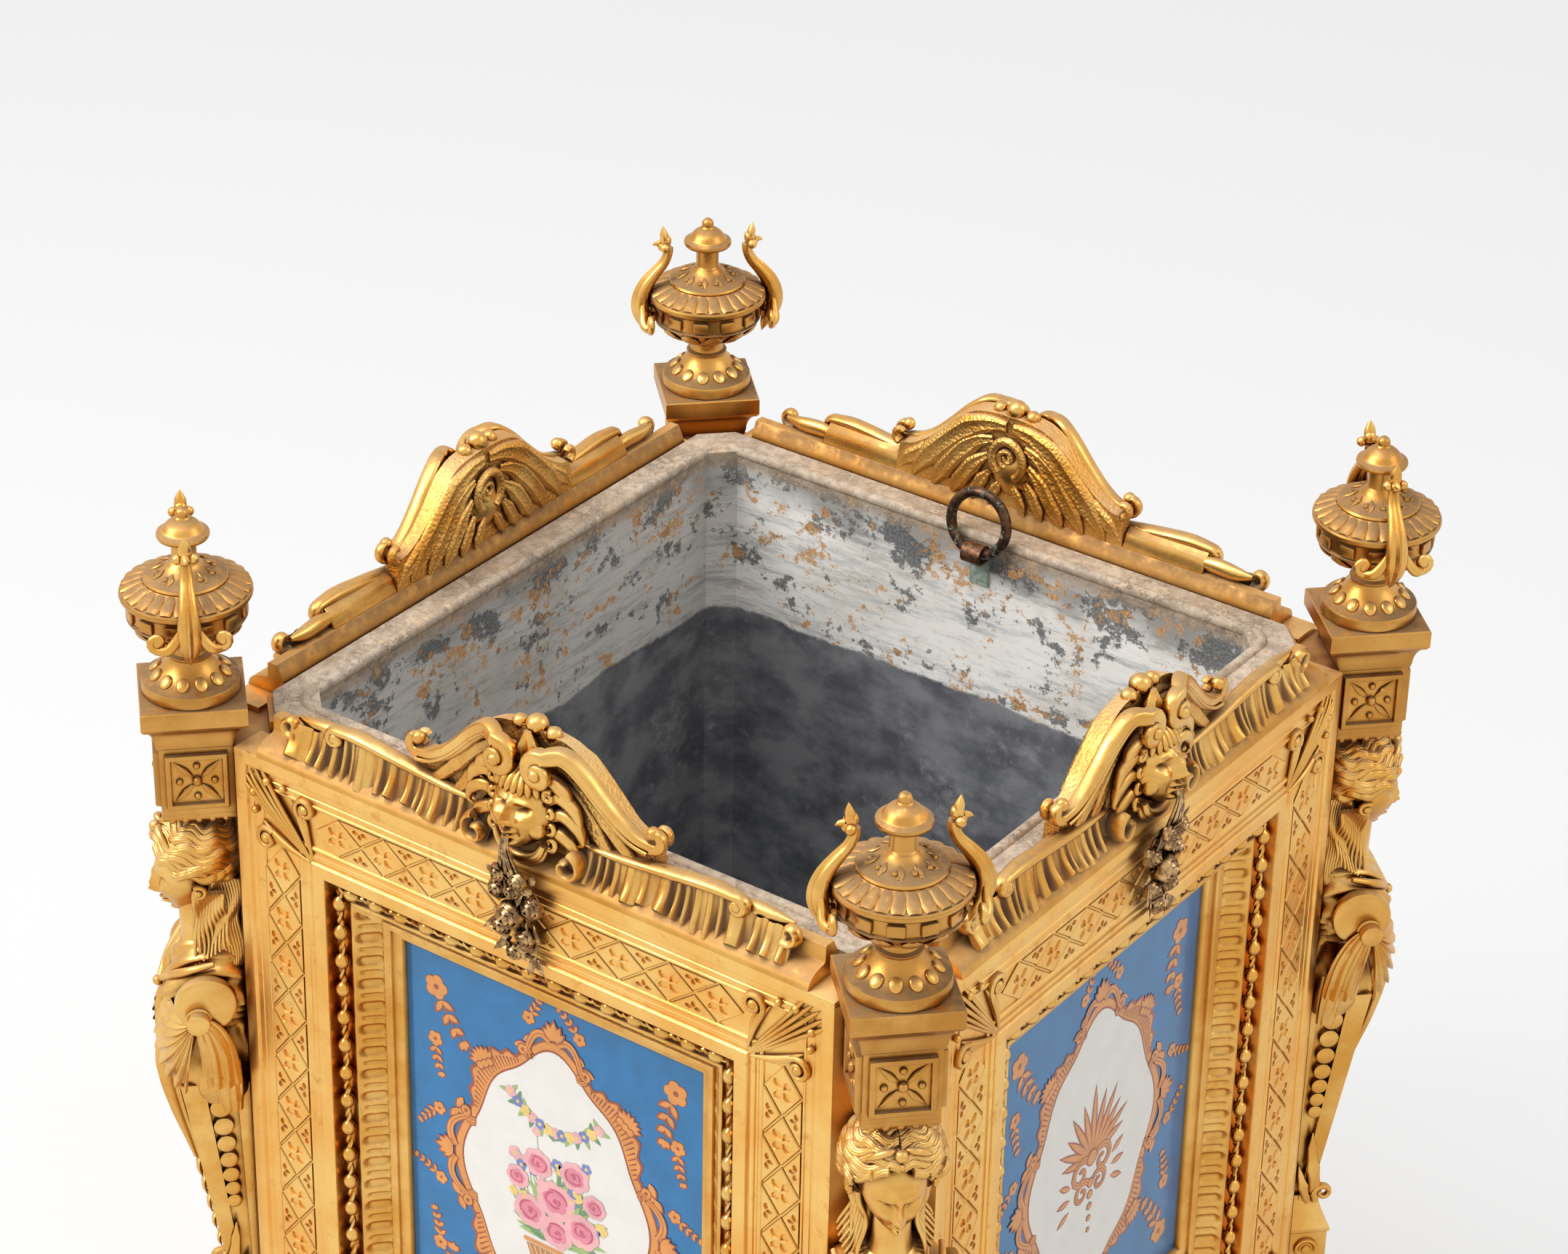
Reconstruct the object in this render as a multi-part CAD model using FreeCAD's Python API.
import FreeCAD, Part
import math
import os

# A square gilt-bronze jardiniere: four framed plaques between herm corner figures,
# an urn on every corner, a crest on every side, and a zinc liner that lifts out.
# Millimetres, +Z up, origin on the floor under the centre.

Vec = FreeCAD.Vector
UP = Vec(0, 0, 1)
CENTRE = Vec(0, 0, 0)
SIDES = {"front": 0, "right": 90, "back": 180, "left": 270}
CORNERS = {"front_right": -45, "back_right": 45, "back_left": 135, "front_left": 225}

# Case
case_width = 300.0
corner_setback = 24.6
panel_height = 285.0
plinth_height = 42.0
foot_height = 24.0
overrun = 5.0

# Panel frame, measured in from its outer edge and back from its face
outer_fillet_width = 5.2
field_width = 28.1
inner_fillet_width = 5.5
channel_width = 7.5
field_depth = 1.0
channel_depth = 8.0
frame_depth = 14.0

# Sight frame inside the panel frame
cove_top_depth = 4.5
cove_width = 8.2
cove_drop = 7.5
cove_bow_share = 0.16
sight_step = 1.0
first_sight_fillet_width = 3.5
second_sight_fillet_width = 3.0
sight_back_depth = 16.4
sight_flange_width = 6.0
flute_pitch = 9.5
flute_width = 6.4
flute_depth = 1.5

# Bead string in the channel
bead_diameter = 5.3
bead_stem_diameter = 1.4
bead_pitch = 10.6
bead_sides = 6

# Plaque and its backing plate
plaque_lap = 5.0
plaque_thickness = 3.0
backing_lap = 4.0
backing_thickness = 1.5

# Rim rail
rail_end_gap = 10.4
rail_height = 12.0
rail_top_width = 4.4
rail_cavetto_width = 8.3
rail_cavetto_height = 5.3
rail_riser_lean = 1.3
rail_riser_top = 10.6
rail_bevel_width = 3.0
rail_bevel_height = 7.0
cavetto_bow_share = 0.2

# Crest above each rail
crest_setback = 0.5
crest_thickness = 6.5
crest_height = 36.0
crest_scroll_reach = 50.0
crest_scroll_radius = 4.2
crest_scroll_height = 13.0
crest_bar_gap = 29.0
crest_bar_height = 7.5
crest_side_bow_share = 0.14
crest_shoulder_share = 0.72
mask_width = 21.0
mask_height = 36.0
mask_depth = 18.0
mask_drop = 3.0
brow_scroll_radius = 5.0
brow_scroll_reach = 11.0
brow_scroll_rise = 25.0
brow_scroll_depth = 5.0
berry_radius = 3.2
ribbon_inner_reach = 15.0
ribbon_end_gap = 11.0
ribbon_pleats = 9
ribbon_crown_share = 0.7
ribbon_thickness = 2.6
ribbon_pleat_depth = 2.6
ribbon_length = 14.0
leaf_tip_width = 9.0
leaf_tip_height = 13.0
leaf_tip_share = 0.67
leaf_tip_bow_share = 0.1

# Bouquet hanging under the mask
bouquet_drop = 37.0
bouquet_radius = 7.5

# Corner post behind each herm
post_tab_length = 17.0
post_tab_thickness = 5.0
seat_lug_width = 18.0
seat_lug_height = 10.0
seat_lug_rise = 4.0

# Impost under each urn
impost_width = 25.2
impost_height = 26.5
impost_top_drop = 2.0
impost_slab_width = 36.3
impost_slab_height = 6.65
impost_cavetto_height = 9.3
impost_fillet_height = 1.0
impost_fillet_width = 1.1
echinus_height = 4.5
echinus_inset = 3.2
echinus_bow_share = 0.2
recess_width = 18.0
recess_height = 18.0
recess_depth = 1.6
recess_margin = 4.0
boss_height = 1.3
boss_inset = 1.2

# Urn, standing on the impost
urn_radius = 22.7
urn_height = 69.3
urn_split_share = 0.534
urn_ball_radius = 2.2
handle_span = 56.0
handle_top = 67.0
handle_foot = 20.0
handle_width = 6.0
rod_diameter = 5.0
rod_clearance = 0.1
rod_reach_share = 0.78
rod_tail = 15.0

# Herm, measured down from the panel's top edge and out from the corner's axis
head_radius = 10.6
head_height = 33.0
head_drop = 58.0
head_forward = 5.0
hair_width = 36.0
hair_height = 27.0
hair_depth = 29.0
hair_drop = 45.6
neck_diameter = 14.0
neck_top_drop = 68.0
shoulder_drop = 86.0
bust_forward = 16.0
shoulder_width = 42.0
bust_flank_share = 0.35
drape_drop = 146.0
drape_forward = 18.5
stump_diameter = 22.0
stump_length = 4.5
stump_drop = 102.0
peg_diameter = 8.5
peg_length = 5.0
peg_drop = 108.0
peg_forward = 5.0
tail_drop = 180.0
tail_width = 15.0
tail_depth = 6.0
tail_tip_share = 0.33
shaft_forward = 12.5
shaft_width = 22.0
shaft_foot_drop = 238.0
shaft_foot_forward = -3.2
shaft_foot_width = 15.0
block_top_drop = 253.5
block_height = 14.2
block_forward = 4.2
block_width = 21.0
roundel_diameter = 9.0
roundel_height = 1.8
bracket_forward = 2.0
bracket_width = 18.0
coin_count = 8
coin_first_diameter = 7.4
coin_last_diameter = 4.0
coin_first_drop = 151.0
coin_last_drop = 207.0
coin_height = 1.4
coin_setback = 9.5

# Plinth, base board and feet
plinth_overhang = 16.0
plinth_lip = 2.0
plinth_base_height = 13.0
plinth_ovolo_height = 8.0
plinth_scotia_height = 11.0
plinth_scotia_inset = 8.0
plinth_cant_rise = 4.0
plinth_opening_setback = 28.0
board_rebate = 8.0
board_thickness = 18.0
foot_radius = 17.0
foot_inset = 30.0
bolt_diameter = 6.0
bolt_head_diameter = 11.0
bolt_head_height = 4.0
bolt_sink = 6.0
bolt_bite = 12.0
bolt_clearance = 0.2

# Frame screws
screw_diameter = 3.6
screw_head_diameter = 7.0
screw_head_height = 2.4
screw_bite = 5.0
screw_inset = 10.0
screw_edge_rise = 55.0

# Liner
liner_setback = 30.0
liner_wall = 1.2
liner_chamfer = 9.0
liner_floor_gap = 6.0
lip_setback = 17.6
lip_thickness = 2.0
lip_chamfer = 10.6
seat_gap = 0.3
liner_corner_clearance = 1.0

# Lifting rings and their straps
ring_diameter = 28.0
ring_wire = 4.0
ring_lean = 8.0
eye_rise = 1.5
eye_clearance = 1.05
strap_width = 8.0
strap_thickness = 1.0
strap_drop = 14.5

# Sizes that follow from those above
face = case_width / 2
half_panel = face - corner_setback
panel_width = 2 * half_panel
half_rail = half_panel - rail_end_gap
ribbon_outer_reach = half_rail - ribbon_end_gap
crest_bar_reach = half_rail - crest_bar_gap
plinth_opening = case_width - 2 * plinth_opening_setback
liner_inner_width = case_width - 2 * liner_setback
lip_width = case_width - 2 * lip_setback
panel_bottom = foot_height + plinth_height
panel_top = panel_bottom + panel_height
field_end = outer_fillet_width + field_width
channel_start = field_end + inner_fillet_width
frame_band = channel_start + channel_width
cove_end = frame_band + cove_width
cove_end_depth = cove_top_depth + cove_drop
first_fillet_end = cove_end + first_sight_fillet_width
sight_band = first_fillet_end + second_sight_fillet_width
frame_back = face - frame_depth
rail_top = panel_top + rail_height
rail_riser_foot = face - rail_cavetto_width
rail_top_outer = rail_riser_foot - rail_riser_lean
rail_top_inner = rail_top_outer - rail_top_width
rail_inner = rail_top_inner - rail_bevel_width
half_block = impost_width / 2
post_face = (face + half_panel) / math.sqrt(2)
corner_reach = post_face + half_block
impost_bottom = panel_top - impost_top_drop - impost_height
slab_bottom = panel_top - impost_top_drop + impost_cavetto_height + impost_fillet_height
slab_top = slab_bottom + impost_slab_height
liner_half = liner_inner_width / 2 + liner_wall
liner_corner = (2 * liner_half - liner_chamfer) / math.sqrt(2)
lip_bottom = panel_top + seat_lug_rise + seat_gap
lip_top = lip_bottom + lip_thickness
eye_bore = ring_wire / 2 + eye_clearance
eye_radius = eye_bore + strap_thickness
eye_reach = liner_inner_width / 2 - eye_radius
eye_height = panel_top + eye_rise

# Outlines as shares: the third value bows the stretch that ends there by a share of its length
URN_BODY_SHARES = [
    (0.75, 0.0), (0.75, 0.066), (0.71, 0.077), (0.43, 0.17, 0.16), (0.43, 0.19, -0.3),
    (0.28, 0.22, 0.2), (0.27, 0.265), (0.38, 0.318, 0.12), (0.86, 0.404, -0.1),
    (0.895, 0.412), (0.895, 0.515), (0.97, 0.534)]
URN_LID_SHARES = [
    (1.0, 0.534), (1.0, 0.565, -0.2), (0.96, 0.584), (0.67, 0.65, -0.08), (0.65, 0.671),
    (0.59, 0.678), (0.26, 0.74, 0.1), (0.19, 0.823, 0.08), (0.38, 0.862, 0.12),
    (0.38, 0.888, -0.35), (0.19, 0.935, -0.1), (0.07, 0.945)]
HANDLE_SHARES = [
    (0.62, 0.02), (0.84, 0.28, 0.15), (1.0, 0.42, 0.2), (0.86, 0.58, 0.16), (0.60, 0.72, 0.06),
    (0.60, 0.80, -0.25), (0.72, 0.80), (0.68, 0.90), (0.60, 1.0), (0.50, 0.86),
    (0.46, 0.74, 0.12), (0.56, 0.64, 0.12), (0.80, 0.52, 0.04), (0.86, 0.42, -0.24),
    (0.72, 0.36, -0.2), (0.66, 0.24, 0.1)]
BOUQUET_SHARES = [(0.1, -1.0), (1.0, -0.35, -0.12), (0.8, -0.1, -0.2), (0.4, 0.19, 0.1)]
BUST_SHARES = [
    (0.45, 0.55, 0.0), (0.75, 0.98, 0.12), (1.0, 1.0, 0.3), (1.02, 0.86, 0.55), (1.12, 0.66, 1.0)]
FOOT_SHARES = [
    (0.62, 0.0), (0.66, 0.08), (0.94, 0.44, -0.18), (0.94, 0.56, -0.3), (0.72, 0.64, 0.2),
    (0.72, 0.76), (1.0, 0.84), (1.0, 1.0)]


def face_from(points, to_space):
    """A flat face; a point's third value bows the stretch that ends there, as a share of its length."""
    edges = []
    previous = points[-1]
    for point in points:
        start = to_space(previous[0], previous[1])
        end = to_space(point[0], point[1])
        if len(point) > 2:
            across = (previous[0] + point[0]) / 2 - point[2] * (point[1] - previous[1])
            along = (previous[1] + point[1]) / 2 + point[2] * (point[0] - previous[0])
            edges.append(Part.Arc(start, to_space(across, along), end).toShape())
        else:
            edges.append(Part.makeLine(start, end))
        previous = point
    return Part.Face(Part.Wire(edges))


def box(low, high):
    return Part.makeBox(high[0] - low[0], high[1] - low[1], high[2] - low[2], Vec(*low))


def joined(solids):
    return solids[0].multiFuse(solids[1:]).removeSplitter()


def turned(shape, angle, axis=UP, about=CENTRE):
    copy = shape.copy()
    copy.rotate(about, axis, angle)
    return copy


def revolved(points, bottom):
    """A turned solid about the Z axis from (radius, height) points."""
    closed = [(0, points[0][1])] + points
    if points[-1][0] > 0:
        closed = closed + [(0, points[-1][1])]
    section = face_from(closed, lambda radius, height: Vec(radius, 0, bottom + height))
    return section.revolve(CENTRE, UP, 360)


def ball(size, place):
    """An ellipsoid with the given full width, depth and height."""
    sphere = Part.makeSphere(1)
    matrix = FreeCAD.Matrix()
    matrix.scale(size[0] / 2, size[1] / 2, size[2] / 2)
    shape = sphere.transformGeometry(matrix)
    shape.translate(Vec(*place))
    return shape


def moulded_block(profile, facings):
    """The solid under one moulding that runs round several pairs of opposite faces."""
    block = None
    for angle, half in facings:
        reach = max(point[0] for point in profile) + half
        right = [(half + point[0], *point[1:]) for point in profile]
        left = []
        for index in range(len(right) - 1, -1, -1):
            bow = right[index + 1][2:] if index + 1 < len(right) else ()
            left.append((-right[index][0], right[index][1], *bow))
        section = face_from(right + left, lambda across, height: Vec(across, -2 * reach, height))
        slab = turned(section.extrude(Vec(0, 4 * reach, 0)), angle)
        block = slab if block is None else block.common(slab)
    return block


def mitred_frame(section, tools):
    """Four lengths of one (inward, depth) section round the panel, cut with the tools, that meet in mitres."""
    middle = Vec(0, 0, panel_bottom + panel_height / 2)
    band = max(point[0] for point in section)
    lengths = []
    for quarter in range(4):
        length, reach = (panel_width, panel_height / 2) if quarter % 2 == 0 else (panel_height, half_panel)
        foot = middle.z - reach
        bar = face_from(section, lambda inward, depth: Vec(-length / 2, depth - face, foot + inward))
        bar = bar.extrude(Vec(length, 0, 0))
        mitre = [(-length / 2, 0), (length / 2, 0), (length / 2 - band, band), (band - length / 2, band)]
        wedge = face_from(mitre, lambda across, inward: Vec(across, -face - overrun, foot + inward))
        wedge = wedge.extrude(Vec(0, face, 0))
        bar = turned(bar.common(wedge), quarter * 90, Vec(0, 1, 0), middle)
        lengths.append(bar.cut(Part.makeCompound(tools)))
    return Part.makeCompound(lengths)


def panel_frame():
    section = [
        (0, 0), (outer_fillet_width, 0), (outer_fillet_width, field_depth), (field_end, field_depth),
        (field_end, 0), (channel_start, 0), (channel_start, channel_depth), (frame_band, channel_depth),
        (frame_band, frame_depth), (0, frame_depth)]
    holes = [screw_shank(x, z, frame_depth - screw_bite) for x, z in screw_places()]
    return mitred_frame(section, holes)


def flute_rows():
    """Tools for the flutes of the cove, evenly spaced on all four sides."""
    middle = Vec(0, 0, panel_bottom + panel_height / 2)
    slope = math.atan2(cove_drop, cove_width)
    radius = (flute_width ** 2 / 4 + flute_depth ** 2) / (2 * flute_depth)
    sag = cove_bow_share * math.hypot(cove_width, cove_drop)
    lift = radius - flute_depth - sag
    tools = []
    for quarter in range(4):
        length, reach = (panel_width, panel_height / 2) if quarter % 2 == 0 else (panel_height, half_panel)
        run = length - 2 * cove_end
        count = round(run / flute_pitch)
        for index in range(count):
            across = (index + 0.5) * run / count - run / 2
            inward = frame_band + cove_width / 2 + lift * math.sin(slope)
            depth = cove_top_depth + cove_drop / 2 - lift * math.cos(slope)
            axis = Vec(0, math.sin(slope), math.cos(slope))
            reach_out = axis * (cove_width / math.cos(slope))
            start = Vec(across, depth - face, middle.z - reach + inward) - reach_out * 0.5
            tool = Part.makeCylinder(radius, reach_out.Length, start, axis)
            tools.append(turned(tool, quarter * 90, Vec(0, 1, 0), middle))
    return tools


def sight_frame():
    section = [
        (frame_band, cove_top_depth), (cove_end, cove_end_depth, cove_bow_share),
        (cove_end, cove_end_depth + sight_step), (first_fillet_end, cove_end_depth + sight_step),
        (first_fillet_end, cove_end_depth + 2 * sight_step), (sight_band, cove_end_depth + 2 * sight_step),
        (sight_band, sight_back_depth), (frame_band - sight_flange_width, sight_back_depth),
        (frame_band - sight_flange_width, frame_depth), (frame_band, frame_depth)]
    return mitred_frame(section, flute_rows())


def bead_run(length):
    """Beads on their stem along X, each bead a faceted double cone."""
    count = round(length / bead_pitch)
    step = length / count
    corner = 1 / math.cos(math.pi / bead_sides)
    rings = []
    for index in range(2 * count + 1):
        diameter = bead_diameter if index % 2 == 0 else bead_stem_diameter
        x = index * step / 2 - length / 2
        ring = []
        for side in range(bead_sides):
            angle = (side + 0.5) * 2 * math.pi / bead_sides
            radius = diameter / 2 * corner
            ring.append(Vec(x, radius * math.sin(angle), radius * math.cos(angle)))
        rings.append(Part.makePolygon(ring + ring[:1]))
    return Part.makeLoft(rings, True, True)


def bead_string():
    inset = channel_start + channel_width / 2
    depth = channel_depth - bead_diameter / 2
    middle = Vec(0, 0, panel_bottom + panel_height / 2)
    runs = []
    for quarter in range(4):
        length, reach = (panel_width, panel_height / 2) if quarter % 2 == 0 else (panel_height, half_panel)
        run = turned(bead_run(length - 2 * inset), 90, Vec(1, 0, 0))
        run.translate(Vec(0, depth - face, middle.z - reach + inset))
        runs.append(turned(run, quarter * 90, Vec(0, 1, 0), middle))
    return joined(runs)


def plate(lap, front_depth, thickness):
    """A flat sheet behind the sight opening, lapping it on every side."""
    across = half_panel - sight_band + lap
    rise = sight_band - lap
    low = (-across, front_depth - face, panel_bottom + rise)
    high = (across, front_depth + thickness - face, panel_top - rise)
    return box(low, high)


def screw_places():
    x = half_panel - screw_inset
    rises = [panel_bottom + screw_edge_rise, panel_top - screw_edge_rise]
    return [(across, z) for across in (-x, x) for z in rises]


def screw_shank(x, z, start_depth):
    length = frame_depth + post_tab_thickness - start_depth
    return Part.makeCylinder(screw_diameter / 2, length, Vec(x, start_depth - face, z), Vec(0, 1, 0))


def frame_screw(x, z):
    head_depth = frame_depth + post_tab_thickness
    head_place = Vec(x, head_depth - face, z)
    head = Part.makeCylinder(screw_head_diameter / 2, screw_head_height, head_place, Vec(0, 1, 0))
    return joined([screw_shank(x, z, frame_depth - screw_bite), head])


def rim_rail():
    section = [
        (rail_inner, 0), (face, 0), (rail_riser_foot, rail_cavetto_height, -cavetto_bow_share),
        (rail_top_outer, rail_riser_top), (rail_top_outer, rail_height), (rail_top_inner, rail_height),
        (rail_inner, rail_height - rail_bevel_height)]
    start = lambda reach, height: Vec(-half_rail, -reach, panel_top + height)
    return face_from(section, start).extrude(Vec(2 * half_rail, 0, 0))


def ribbon(side):
    """A pleated ribbon laid on the cavetto, a zigzag prism along the slope."""
    slope = Vec(0, -(face - rail_top_outer), -rail_height).normalize()
    out = Vec(0, slope.z, -slope.y)
    foot = Vec(0, -rail_top_outer, rail_top)
    width = (ribbon_outer_reach - ribbon_inner_reach) / ribbon_pleats
    points = [(ribbon_inner_reach, -ribbon_length)]
    for pleat in range(ribbon_pleats):
        start = ribbon_inner_reach + pleat * width
        points.append((start, ribbon_thickness - ribbon_pleat_depth))
        points.append((start + ribbon_crown_share * width, ribbon_thickness))
    points.append((ribbon_outer_reach, ribbon_thickness - ribbon_pleat_depth))
    points.append((ribbon_outer_reach, -ribbon_length))
    to_space = lambda across, rise: foot + out * rise + Vec(side * across, 0, 0)
    return face_from(points, to_space).extrude(slope * ribbon_length)


def crest(rail):
    """Mask, brow scrolls and berries between two swept shoulders that end in scrolls."""
    back = -(rail_top_inner + crest_setback)
    shoulder = [
        (-crest_bar_reach, 0), (crest_bar_reach, 0), (crest_bar_reach, crest_bar_height),
        (crest_scroll_reach, crest_bar_height), (crest_scroll_reach, crest_scroll_height),
        (mask_width, crest_height * crest_shoulder_share, crest_side_bow_share),
        (0, crest_height, crest_side_bow_share),
        (-mask_width, crest_height * crest_shoulder_share, crest_side_bow_share),
        (-crest_scroll_reach, crest_scroll_height, crest_side_bow_share),
        (-crest_scroll_reach, crest_bar_height), (-crest_bar_reach, crest_bar_height)]
    plate_face = face_from(shoulder, lambda x, height: Vec(x, back, rail_top + height))
    pieces = [plate_face.extrude(Vec(0, -crest_thickness, 0))]
    front = back - crest_thickness
    mask_place = (0, front, rail_top - mask_drop + mask_height / 2)
    pieces.append(ball((mask_width, mask_depth, mask_height), mask_place))
    for side in (-1, 1):
        scroll_place = Vec(side * crest_scroll_reach, back, rail_top + crest_scroll_height)
        pieces.append(Part.makeCylinder(crest_scroll_radius, crest_thickness, scroll_place, Vec(0, -1, 0)))
        brow_place = Vec(side * brow_scroll_reach, back, rail_top + brow_scroll_rise)
        brow_depth = crest_thickness + brow_scroll_depth
        pieces.append(Part.makeCylinder(brow_scroll_radius, brow_depth, brow_place, Vec(0, -1, 0)))
        berry_place = Vec(side * berry_radius, back - crest_thickness / 2, rail_top + crest_height)
        pieces.append(Part.makeSphere(berry_radius, berry_place))
        pieces.append(ribbon(side))
        tip = [
            (ribbon_outer_reach - leaf_tip_width, 0), (ribbon_outer_reach, 0),
            (ribbon_outer_reach - (1 - leaf_tip_share) * leaf_tip_width, leaf_tip_height, leaf_tip_bow_share * side)]
        tip_face = face_from(tip, lambda x, height: Vec(side * x, -rail_riser_foot, panel_top + height))
        pieces.append(tip_face.extrude(Vec(0, -ribbon_thickness, rail_cavetto_height)))
    keep = box((-case_width, -2 * face, panel_top), (case_width, back, rail_top + 2 * crest_height))
    return joined(pieces).common(keep).cut(rail).removeSplitter()


def bouquet(crest_piece):
    """A half-round drop of flowers with its flat back on the panel frame."""
    body = revolved(scaled(BOUQUET_SHARES, bouquet_radius, bouquet_drop), 0)
    body.translate(Vec(0, -face, panel_top))
    keep = box((-face, -2 * face, foot_height), (face, -face, 2 * panel_top))
    return body.common(keep).cut(crest_piece)


def at_corner(shape):
    """Moves a piece made about the Z axis, facing +X, out to the corner axis."""
    moved = shape.copy()
    moved.translate(Vec(corner_reach, 0, 0))
    return moved


def corner_post():
    """Post with a tab behind each panel frame and a lug that carries the liner's lip."""
    tab_end = half_panel - post_tab_length
    tab_inner = frame_back - post_tab_thickness
    bend = tab_inner - (frame_back - half_panel)
    outline = [
        (half_panel, face), (face, half_panel), (frame_back, half_panel), (frame_back, tab_end),
        (tab_inner, tab_end), (tab_inner, bend), (bend, tab_inner), (tab_end, tab_inner),
        (tab_end, frame_back), (half_panel, frame_back)]
    post = face_from(outline, lambda x, y: Vec(x, y, panel_bottom)).extrude(Vec(0, 0, panel_height - impost_top_drop))
    post = turned(post, -45)
    lug_start = liner_corner + liner_corner_clearance
    lug_end = (tab_inner + bend) / math.sqrt(2)
    low = (lug_start, -seat_lug_width / 2, panel_top + seat_lug_rise - seat_lug_height)
    high = (lug_end + seat_lug_rise, seat_lug_width / 2, panel_top + seat_lug_rise)
    post = joined([post, box(low, high)])
    holes = []
    for x, z in screw_places()[2:]:
        shank = turned(screw_shank(x, z, frame_depth - overrun), 45)
        holes.append(shank)
        holes.append(shank.mirror(CENTRE, Vec(0, 1, 0)))
    return post.cut(Part.makeCompound(holes))


def impost():
    """Slab, cavetto and block with a sunk panel and low pyramid on its three open faces."""
    slab_out = (impost_slab_width - impost_width) / 2
    neck = impost_bottom + impost_height
    profile = [
        (-echinus_inset, impost_bottom - echinus_height), (0, impost_bottom, -echinus_bow_share), (0, neck),
        (slab_out - impost_fillet_width, neck + impost_cavetto_height, cavetto_bow_share),
        (slab_out - impost_fillet_width, slab_bottom), (slab_out, slab_bottom), (slab_out, slab_top)]
    block = moulded_block(profile, [(0, half_block), (90, half_block)])
    recess_top = neck - recess_margin
    recess_bottom = recess_top - recess_height
    middle = (recess_top + recess_bottom) / 2
    boss_half = recess_width / 2 - boss_inset
    for angle in (-90, 0, 90):
        low = (half_block - recess_depth, -recess_width / 2, recess_bottom)
        high = (half_block + overrun, recess_width / 2, recess_top)
        block = block.cut(turned(box(low, high), angle))
        floor = half_block - recess_depth
        square = [(-boss_half, -boss_half), (boss_half, -boss_half), (boss_half, boss_half),
                  (-boss_half, boss_half)]
        base = [Vec(floor, across, middle + rise) for across, rise in square]
        peak = Part.Vertex(Vec(floor + boss_height, 0, middle))
        boss = Part.makeLoft([Part.makePolygon(base + base[:1]), peak], True, True)
        block = block.fuse(turned(boss, angle))
    bore = rod_hole(impost_bottom - echinus_height, slab_top)
    return at_corner(block.removeSplitter().cut(bore))


def rod_hole(low, high):
    radius = rod_diameter / 2 + rod_clearance
    return Part.makeCylinder(radius, high - low + 2 * overrun, Vec(0, 0, low - overrun))


def scaled(shares, radius, height):
    return [(point[0] * radius, point[1] * height, *point[2:]) for point in shares]


def urn_body():
    body = revolved(scaled(URN_BODY_SHARES, urn_radius, urn_height), slab_top)
    return at_corner(body.cut(rod_hole(slab_top, slab_top + urn_split_share * urn_height)))


def urn_lid():
    lid = revolved(scaled(URN_LID_SHARES, urn_radius, urn_height), slab_top)
    knob_ball = Part.makeSphere(urn_ball_radius, Vec(0, 0, slab_top + urn_height - urn_ball_radius))
    lid = joined([lid, knob_ball])
    top = slab_top + rod_reach_share * urn_height
    radius = rod_diameter / 2 + rod_clearance
    bore = Part.makeCylinder(radius, top - slab_top, Vec(0, 0, slab_top))
    return at_corner(lid.cut(bore))


def urn_rod():
    low = impost_bottom - echinus_height
    high = slab_top + rod_reach_share * urn_height
    return at_corner(Part.makeCylinder(rod_diameter / 2, high - low, Vec(0, 0, low)))


def urn_handles(body, lid):
    """Two S-scroll handles beside the bowl, cut to lie against it."""
    handles = []
    for side in (-1, 1):
        points = []
        for point in HANDLE_SHARES:
            bow = [value * side for value in point[2:]]
            height = handle_foot + point[1] * (handle_top - handle_foot)
            points.append((side * point[0] * handle_span / 2, height, *bow))
        to_space = lambda across, height: Vec(-handle_width / 2, across, slab_top + height)
        handle = at_corner(face_from(points, to_space).extrude(Vec(handle_width, 0, 0)))
        handles.append(handle.cut(body).cut(lid))
    return handles


def bow_section(forward, width, z):
    """A flat-backed section against the post, rounded to the front."""
    back = -half_block
    side = back + (forward - back) * bust_flank_share
    bow_share = (side - forward) / width
    points = [(back, -width / 2), (side, -width / 2), (side, width / 2, bow_share), (back, width / 2)]
    return face_from(points, lambda u, w: Vec(u, w, z)).OuterWire


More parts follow.
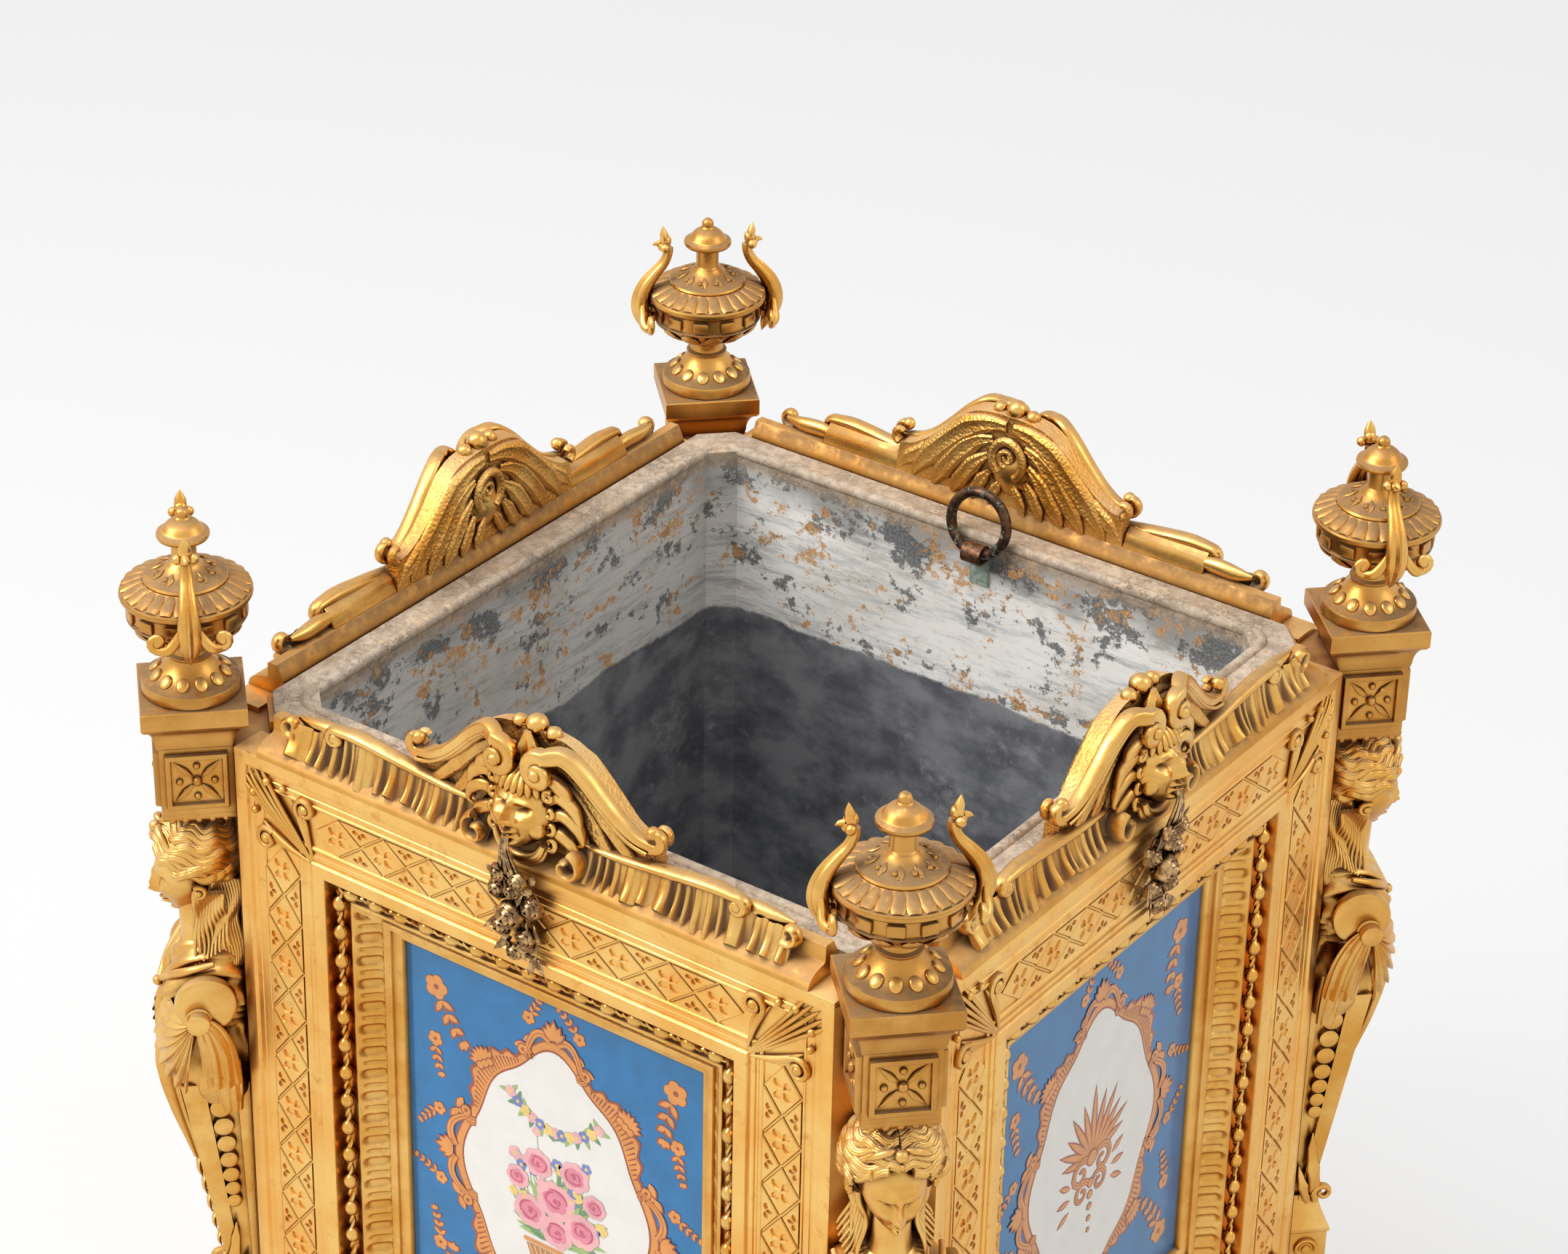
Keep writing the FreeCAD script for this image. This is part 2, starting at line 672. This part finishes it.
def herm():
    """Head, neck, draped bust with arm stumps, tapering shaft, block with roundels and bracket."""
    back = -half_block
    pieces = []
    head_place = (head_forward, 0, panel_top - head_drop)
    pieces.append(ball((2 * head_radius, 2 * head_radius, head_height), head_place))
    pieces.append(ball((hair_depth, hair_width, hair_height), (0, 0, panel_top - hair_drop)))
    neck_height = shoulder_drop + neck_diameter / 2 - neck_top_drop
    neck_place = Vec(head_forward / 2, 0, panel_top - neck_top_drop - neck_height)
    pieces.append(Part.makeCylinder(neck_diameter / 2, neck_height, neck_place))
    sections = []
    for forward_share, width_share, drop_share in BUST_SHARES:
        z = panel_top - shoulder_drop - drop_share * (drape_drop - shoulder_drop)
        sections.append(bow_section(forward_share * bust_forward, width_share * shoulder_width, z))
    pieces.append(Part.makeLoft(sections, True, False))
    shaft_top = panel_top - drape_drop + overrun
    shaft_foot = panel_top - shaft_foot_drop
    corners = [(shaft_top, shaft_forward, shaft_width), (shaft_foot, shaft_foot_forward, shaft_foot_width)]
    block_top = panel_top - block_top_drop
    block_bottom = block_top - block_height
    corners += [(block_top, block_forward, block_width), (block_bottom, block_forward, block_width)]
    corners += [(panel_bottom, bracket_forward, bracket_width)]
    rings = []
    for z, forward, width in corners:
        ring = [Vec(back, -width / 2, z), Vec(forward, -width / 2, z), Vec(forward, width / 2, z),
                Vec(back, width / 2, z)]
        rings.append(Part.makePolygon(ring + ring[:1]))
    pieces.append(Part.makeLoft(rings, True, True))
    tail_top = panel_top - drape_drop + overrun
    tail_rings = []
    for z, forward, width in [(tail_top, drape_forward, tail_width),
                              (panel_top - tail_drop, drape_forward - tail_depth, tail_width * tail_tip_share)]:
        ring = [Vec(forward - 2 * tail_depth, -width / 2, z), Vec(forward, -width / 2, z),
                Vec(forward, width / 2, z), Vec(forward - 2 * tail_depth, width / 2, z)]
        tail_rings.append(Part.makePolygon(ring + ring[:1]))
    pieces.append(Part.makeLoft(tail_rings, True, True))
    for side in (-1, 1):
        out = Vec(0, side, 0)
        stump_start = Vec(0, side * (shoulder_width / 2 - stump_length), panel_top - stump_drop)
        pieces.append(Part.makeCylinder(stump_diameter / 2, 2 * stump_length, stump_start, out))
        peg_start = Vec(peg_forward, side * shoulder_width / 2, panel_top - peg_drop)
        pieces.append(Part.makeCylinder(peg_diameter / 2, stump_length + peg_length, peg_start, out))
        roundel_start = Vec((back + block_forward) / 2, 0, block_bottom + block_height / 2)
        reach = block_width / 2 + roundel_height
        pieces.append(Part.makeCylinder(roundel_diameter / 2, reach, roundel_start, out))
        for index in range(coin_count):
            share = index / (coin_count - 1)
            drop = coin_first_drop + share * (coin_last_drop - coin_first_drop)
            diameter = coin_first_diameter + share * (coin_last_diameter - coin_first_diameter)
            fall = (drop - drape_drop) / (shaft_foot_drop - drape_drop)
            width = shaft_width + fall * (shaft_foot_width - shaft_width)
            forward = shaft_forward + fall * (shaft_foot_forward - shaft_forward)
            place = Vec(forward - coin_setback, 0, panel_top - drop)
            pieces.append(Part.makeCylinder(diameter / 2, width / 2 + coin_height, place, out))
    figure = joined(pieces)
    top = impost_bottom - echinus_height
    keep = box((back, -case_width, panel_bottom), (case_width, case_width, top))
    bore = Part.makeCylinder(rod_diameter / 2 + rod_clearance, rod_tail, Vec(0, 0, top - rod_tail))
    return at_corner(figure.common(keep).cut(bore))


def plinth():
    """Moulded ring with a rebate that takes the base board."""
    base_top = foot_height + plinth_base_height
    ovolo_top = base_top + plinth_ovolo_height
    scotia_top = ovolo_top + plinth_scotia_height
    waist = plinth_overhang - plinth_scotia_inset
    profile = [
        (plinth_overhang, foot_height), (plinth_overhang, base_top),
        (waist, ovolo_top, -cavetto_bow_share), (plinth_lip + plinth_lip, scotia_top, cavetto_bow_share),
        (plinth_lip, scotia_top), (plinth_lip, panel_bottom)]
    cant = corner_reach + plinth_cant_rise
    block = moulded_block(profile, [(0, face), (90, face), (45, cant), (135, cant)])
    half = plinth_opening / 2
    ledge = panel_bottom - board_thickness
    hole = box((-half, -half, foot_height - overrun), (half, half, panel_bottom))
    rebate = half + board_rebate
    hole = hole.fuse(box((-rebate, -rebate, ledge), (rebate, rebate, panel_bottom + overrun)))
    holes = [at_foot(bolt_hole(), angle) for angle in CORNERS.values()]
    return block.cut(hole).cut(Part.makeCompound(holes))


def base_board():
    half = plinth_opening / 2 + board_rebate
    return box((-half, -half, panel_bottom - board_thickness), (half, half, panel_bottom))


def at_foot(shape, angle):
    """Moves a piece made about the Z axis to the middle of a foot."""
    moved = shape.copy()
    moved.translate(Vec(corner_reach + plinth_cant_rise + plinth_overhang - foot_inset, 0, 0))
    return turned(moved, angle)


def bolt_hole():
    top = foot_height + bolt_bite
    return Part.makeCylinder(bolt_diameter / 2, top, CENTRE)


def foot():
    turned_foot = revolved(scaled(FOOT_SHARES, foot_radius, foot_height), 0)
    sink = Part.makeCylinder(bolt_head_diameter / 2 + bolt_clearance, bolt_sink, CENTRE)
    return turned_foot.cut(bolt_hole()).cut(sink)


def foot_bolt():
    shank = Part.makeCylinder(bolt_diameter / 2, foot_height + bolt_bite - bolt_sink, Vec(0, 0, bolt_sink))
    head_low = bolt_sink - bolt_head_height
    head = Part.makeCylinder(bolt_head_diameter / 2, bolt_head_height, Vec(0, 0, head_low))
    return joined([shank, head])


def chamfered_square(half, chamfer, low, high):
    inner = half - chamfer
    outline = [(inner, -half), (half, -inner), (half, inner), (inner, half), (-inner, half), (-half, inner),
               (-half, -inner), (-inner, -half)]
    return face_from(outline, lambda x, y: Vec(x, y, low)).extrude(Vec(0, 0, high - low))


def liner():
    """A box of sheet zinc with its lip turned out flat."""
    bottom = panel_bottom + liner_floor_gap
    outer = chamfered_square(liner_half, liner_chamfer, bottom, lip_top)
    lip = chamfered_square(lip_width / 2, lip_chamfer, lip_bottom, lip_top)
    inside = chamfered_square(liner_half - liner_wall, liner_chamfer - liner_wall / 2, bottom + liner_wall,
                              lip_top + overrun)
    return joined([outer, lip]).cut(inside)


def ring_strap():
    """A strip soldered to the liner's back wall and folded round the ring at its top."""
    wall = liner_inner_width / 2
    half = strap_width / 2
    tongue = box((-half, wall - strap_thickness, eye_height - strap_drop), (half, wall, eye_height))
    start = Vec(-half, eye_reach, eye_height)
    eye = Part.makeCylinder(eye_radius, strap_width, start, Vec(1, 0, 0))
    bore = Part.makeCylinder(eye_bore, strap_width, start, Vec(1, 0, 0))
    return joined([tongue, eye]).cut(bore)


def lifting_ring():
    """A round wire ring standing in its strap and leaning back towards the lip."""
    radius = (ring_diameter - ring_wire) / 2
    place = Vec(0, eye_reach, eye_height)
    ring = Part.makeTorus(radius, ring_wire / 2, place + Vec(0, 0, radius), Vec(0, 1, 0))
    return turned(ring, -ring_lean, Vec(1, 0, 0), place)


def save(name, shape):
    solids = shape.Solids
    result = solids[0] if len(solids) == 1 else Part.makeCompound(solids)
    result.exportStep("parts/" + name + ".step")


def save_group(name, shapes):
    save(name, Part.makeCompound(shapes))


def main():
    os.makedirs("parts", exist_ok=True)
    rail = rim_rail()
    crest_piece = crest(rail)
    side_pieces = {
        "panel_frame": panel_frame(), "sight_frame": sight_frame(), "bead_string": bead_string(),
        "plaque": plate(plaque_lap, sight_back_depth, plaque_thickness), "rim_rail": rail,
        "crest": crest_piece, "bouquet": bouquet(crest_piece)}
    for name, shape in side_pieces.items():
        for side, angle in SIDES.items():
            save(name + "_" + side, turned(shape, angle))
    backing = plate(plaque_lap + backing_lap, sight_back_depth + plaque_thickness, backing_thickness)
    save_group("plaque_backings", [turned(backing, angle) for angle in SIDES.values()])
    screws = [frame_screw(x, z) for x, z in screw_places()]
    save_group("frame_screws", [turned(screw, angle) for angle in SIDES.values() for screw in screws])

    body, lid = urn_body(), urn_lid()
    corner_pieces = {"corner_post": corner_post(), "herm": herm(), "impost": impost(), "urn_body": body}
    for name, shape in corner_pieces.items():
        for corner, angle in CORNERS.items():
            save(name + "_" + corner, turned(shape, angle))
    handles = urn_handles(body, lid)
    save_group("urn_lids", [turned(lid, angle) for angle in CORNERS.values()])
    save_group("urn_handles", [turned(piece, angle) for angle in CORNERS.values() for piece in handles])
    save_group("urn_rods", [turned(urn_rod(), angle) for angle in CORNERS.values()])

    save("base_plinth", plinth())
    save("base_board", base_board())
    for corner, angle in CORNERS.items():
        save("foot_" + corner, at_foot(foot(), angle))
    save_group("foot_bolts", [at_foot(foot_bolt(), angle) for angle in CORNERS.values()])

    save("liner", liner())
    strap, ring = ring_strap(), lifting_ring()
    save_group("ring_straps", [strap, turned(strap, 180)])
    save("lifting_ring_back", ring)
    save("lifting_ring_front", turned(ring, 180))


main()
